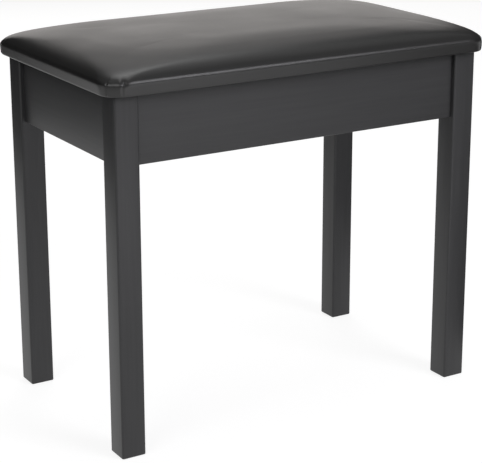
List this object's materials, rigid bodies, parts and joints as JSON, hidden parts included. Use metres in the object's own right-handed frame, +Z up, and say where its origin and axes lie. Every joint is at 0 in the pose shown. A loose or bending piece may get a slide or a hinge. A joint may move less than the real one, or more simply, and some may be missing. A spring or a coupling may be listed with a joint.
{
  "type": "keyboard bench",
  "caption": "Padded keyboard bench with square legs, deep rails and a hinged seat lid on slotted stays over a storage compartment.",
  "frame": {"origin": "on the floor under the middle of the seat", "axes": "+X along the long side to the sitter's right hand as seen from the front, +Y towards the hinged rear side, +Z up"},
  "size_m": [0.548, 0.328, 0.4889],
  "materials": {
    "painted_wood": "satin black paint with a faint grain",
    "corner_block_wood": "bare softwood",
    "storage_floor_board": "black-faced hardboard",
    "seat_board_wood": "bare plywood",
    "seat_foam": "open-cell foam",
    "seat_leather": "black artificial leather, soft sheen",
    "lid_lining": "black non-woven cloth",
    "foot_pad_rubber": "matt",
    "bumper_rubber": "matt",
    "bolt_steel": "zinc plated",
    "hinge_steel": "zinc plated",
    "stay_steel": "zinc plated",
    "screw_steel": "zinc plated"
  },
  "bodies": {
    "frame": {"front_left_leg": "painted_wood", "front_right_leg": "painted_wood", "rear_right_leg": "painted_wood", "rear_left_leg": "painted_wood", "front_rail": "painted_wood", "rear_rail": "painted_wood", "left_rail": "painted_wood", "right_rail": "painted_wood", "storage_floor": "storage_floor_board", "front_left_corner_block": "corner_block_wood", "front_right_corner_block": "corner_block_wood", "rear_right_corner_block": "corner_block_wood", "rear_left_corner_block": "corner_block_wood", "front_left_lower_leg_bolt": "bolt_steel", "front_left_upper_leg_bolt": "bolt_steel", "front_right_lower_leg_bolt": "bolt_steel", "front_right_upper_leg_bolt": "bolt_steel", "rear_right_lower_leg_bolt": "bolt_steel", "rear_right_upper_leg_bolt": "bolt_steel", "rear_left_lower_leg_bolt": "bolt_steel", "rear_left_upper_leg_bolt": "bolt_steel", "front_left_foot_pad": "foot_pad_rubber", "front_right_foot_pad": "foot_pad_rubber", "rear_right_foot_pad": "foot_pad_rubber", "rear_left_foot_pad": "foot_pad_rubber", "left_lid_bumper": "bumper_rubber", "right_lid_bumper": "bumper_rubber", "left_hinge_rail_leaf": "hinge_steel", "left_hinge_pin": "hinge_steel", "left_hinge_rail_screw_1": "screw_steel", "left_hinge_rail_screw_2": "screw_steel", "right_hinge_rail_leaf": "hinge_steel", "right_hinge_pin": "hinge_steel", "right_hinge_rail_screw_1": "screw_steel", "right_hinge_rail_screw_2": "screw_steel", "left_stay_track": "stay_steel", "left_stay_track_front_screw": "screw_steel", "left_stay_track_rear_screw": "screw_steel", "right_stay_track": "stay_steel", "right_stay_track_front_screw": "screw_steel", "right_stay_track_rear_screw": "screw_steel"},
    "lid": {"seat_board": "seat_board_wood", "seat_foam": "seat_foam", "seat_cover": "seat_leather", "lid_lining": "lid_lining", "left_hinge_lid_leaf": "hinge_steel", "left_hinge_lid_screw_1": "screw_steel", "left_hinge_lid_screw_2": "screw_steel", "right_hinge_lid_leaf": "hinge_steel", "right_hinge_lid_screw_1": "screw_steel", "right_hinge_lid_screw_2": "screw_steel", "left_stay_lid_bracket": "stay_steel", "left_stay_pivot_rivet": "stay_steel", "right_stay_lid_bracket": "stay_steel", "right_stay_pivot_rivet": "stay_steel"},
    "left_stay": {"left_stay_arm": "stay_steel", "left_stay_slide_pin": "stay_steel"},
    "right_stay": {"right_stay_arm": "stay_steel", "right_stay_slide_pin": "stay_steel"}
  },
  "joints": [
    {"name": "lid_hinge", "type": "hinge", "parent": "frame", "child": "lid", "pos_m": [0, 0.149, 0.4484], "axis": [-1, 0, 0], "range_deg": [0, 75]},
    {"name": "left_stay_pivot", "type": "hinge", "parent": "lid", "child": "left_stay", "pos_m": [-0.2343, 0.06435, 0.4405], "axis": [1, 0, 0], "range_deg": [0, 120]},
    {"name": "right_stay_pivot", "type": "hinge", "parent": "lid", "child": "right_stay", "pos_m": [0.2343, 0.06435, 0.4405], "axis": [1, 0, 0], "range_deg": [0, 120]}
  ],
  "couplings": [
    {"joint": "left_stay_pivot", "follows": "lid_hinge", "ratio": 1.6},
    {"joint": "right_stay_pivot", "follows": "lid_hinge", "ratio": 1.6}
  ]
}
